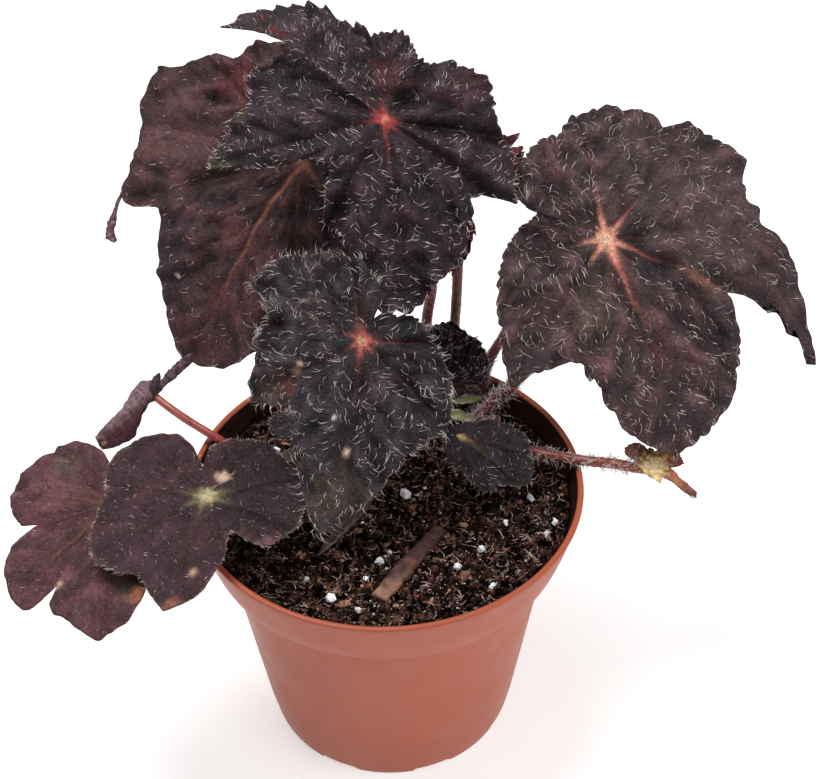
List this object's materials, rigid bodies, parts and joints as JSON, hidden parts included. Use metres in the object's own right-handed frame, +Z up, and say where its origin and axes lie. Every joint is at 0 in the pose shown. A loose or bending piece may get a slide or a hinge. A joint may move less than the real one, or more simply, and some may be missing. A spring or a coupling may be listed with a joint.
{
  "type": "potted plant",
  "caption": "Small hairy begonia with dark lobed leaves on reddish stalks from a creeping stem, in soil in a tapered plastic nursery pot",
  "frame": {"origin": "centre of the pot's flat base, on the surface that the pot stands on", "axes": "+Z up along the pot's axis; -Y is the side toward the viewer in the picture; +X is to the viewer's right"},
  "size_m": [0.2458, 0.1873, 0.2031],
  "materials": {
    "pot_plastic": "semi-matt terracotta-coloured polypropylene",
    "soil": "moist dark peat with brown fibres and white perlite",
    "stem": "brown knotted creeping stem",
    "stipule": "olive-green scale leaves",
    "dry_leaf": "rolled purple-brown withered leaf",
    "bark": "pale pinkish-tan bark chip",
    "leaf_top": "satin purple-black leaf with pale hairs and a red hub",
    "leaf_right": "satin purple-black leaf with orange veins",
    "leaf_front": "satin blue-black leaf with pale hairs",
    "leaf_back_left": "satin maroon-black leaf with a brown midrib",
    "leaf_front_left": "satin plum-black leaf with a yellow-green hub",
    "leaf_far_left": "satin plum-red leaf with fine veins",
    "leaf_rolled": "grey-purple leaf seen from its pleated back",
    "leaf_small": "young dark leaf with a yellow-orange streak",
    "leaf_torn": "torn remnant of a leaf with a pale yellow hub",
    "leaf_young": "small pleated blackish leaf",
    "leaf_back": "dark leaf with a ruffled red margin",
    "leaf_bud": "tiny hairy unfolding leaf",
    "stalk_red": "dark red stalk with sparse hairs",
    "stalk_hairy": "brownish red stalk with long pale hairs",
    "stalk_pink": "smooth pinkish-red stalk"
  },
  "bodies": {
    "root": {"pot": "pot_plastic", "soil": "soil", "creeping_stem": "stem", "stipule_upper": "stipule", "stipule_lower": "stipule", "old_leaf": "dry_leaf", "bark_chip": "bark", "leaf_top": "leaf_top", "leaf_right": "leaf_right", "leaf_front": "leaf_front", "leaf_back_left": "leaf_back_left", "leaf_front_left": "leaf_front_left", "leaf_far_left": "leaf_far_left", "leaf_rolled": "leaf_rolled", "leaf_small": "leaf_small", "leaf_torn": "leaf_torn", "leaf_young": "leaf_young", "leaf_back_centre": "leaf_back", "leaf_back_right": "leaf_back", "leaf_bud": "leaf_bud", "stalk_top": "stalk_red", "stalk_right": "stalk_hairy", "stalk_front": "stalk_red", "stalk_back_left": "stalk_red", "stalk_front_left": "stalk_red", "stalk_far_left": "stalk_red", "stalk_rolled": "stalk_pink", "stalk_small": "stalk_red", "stalk_torn": "stalk_hairy", "stalk_young": "stalk_red", "stalk_back_centre": "stalk_red", "stalk_back_right": "stalk_hairy"}
  },
  "joints": []
}
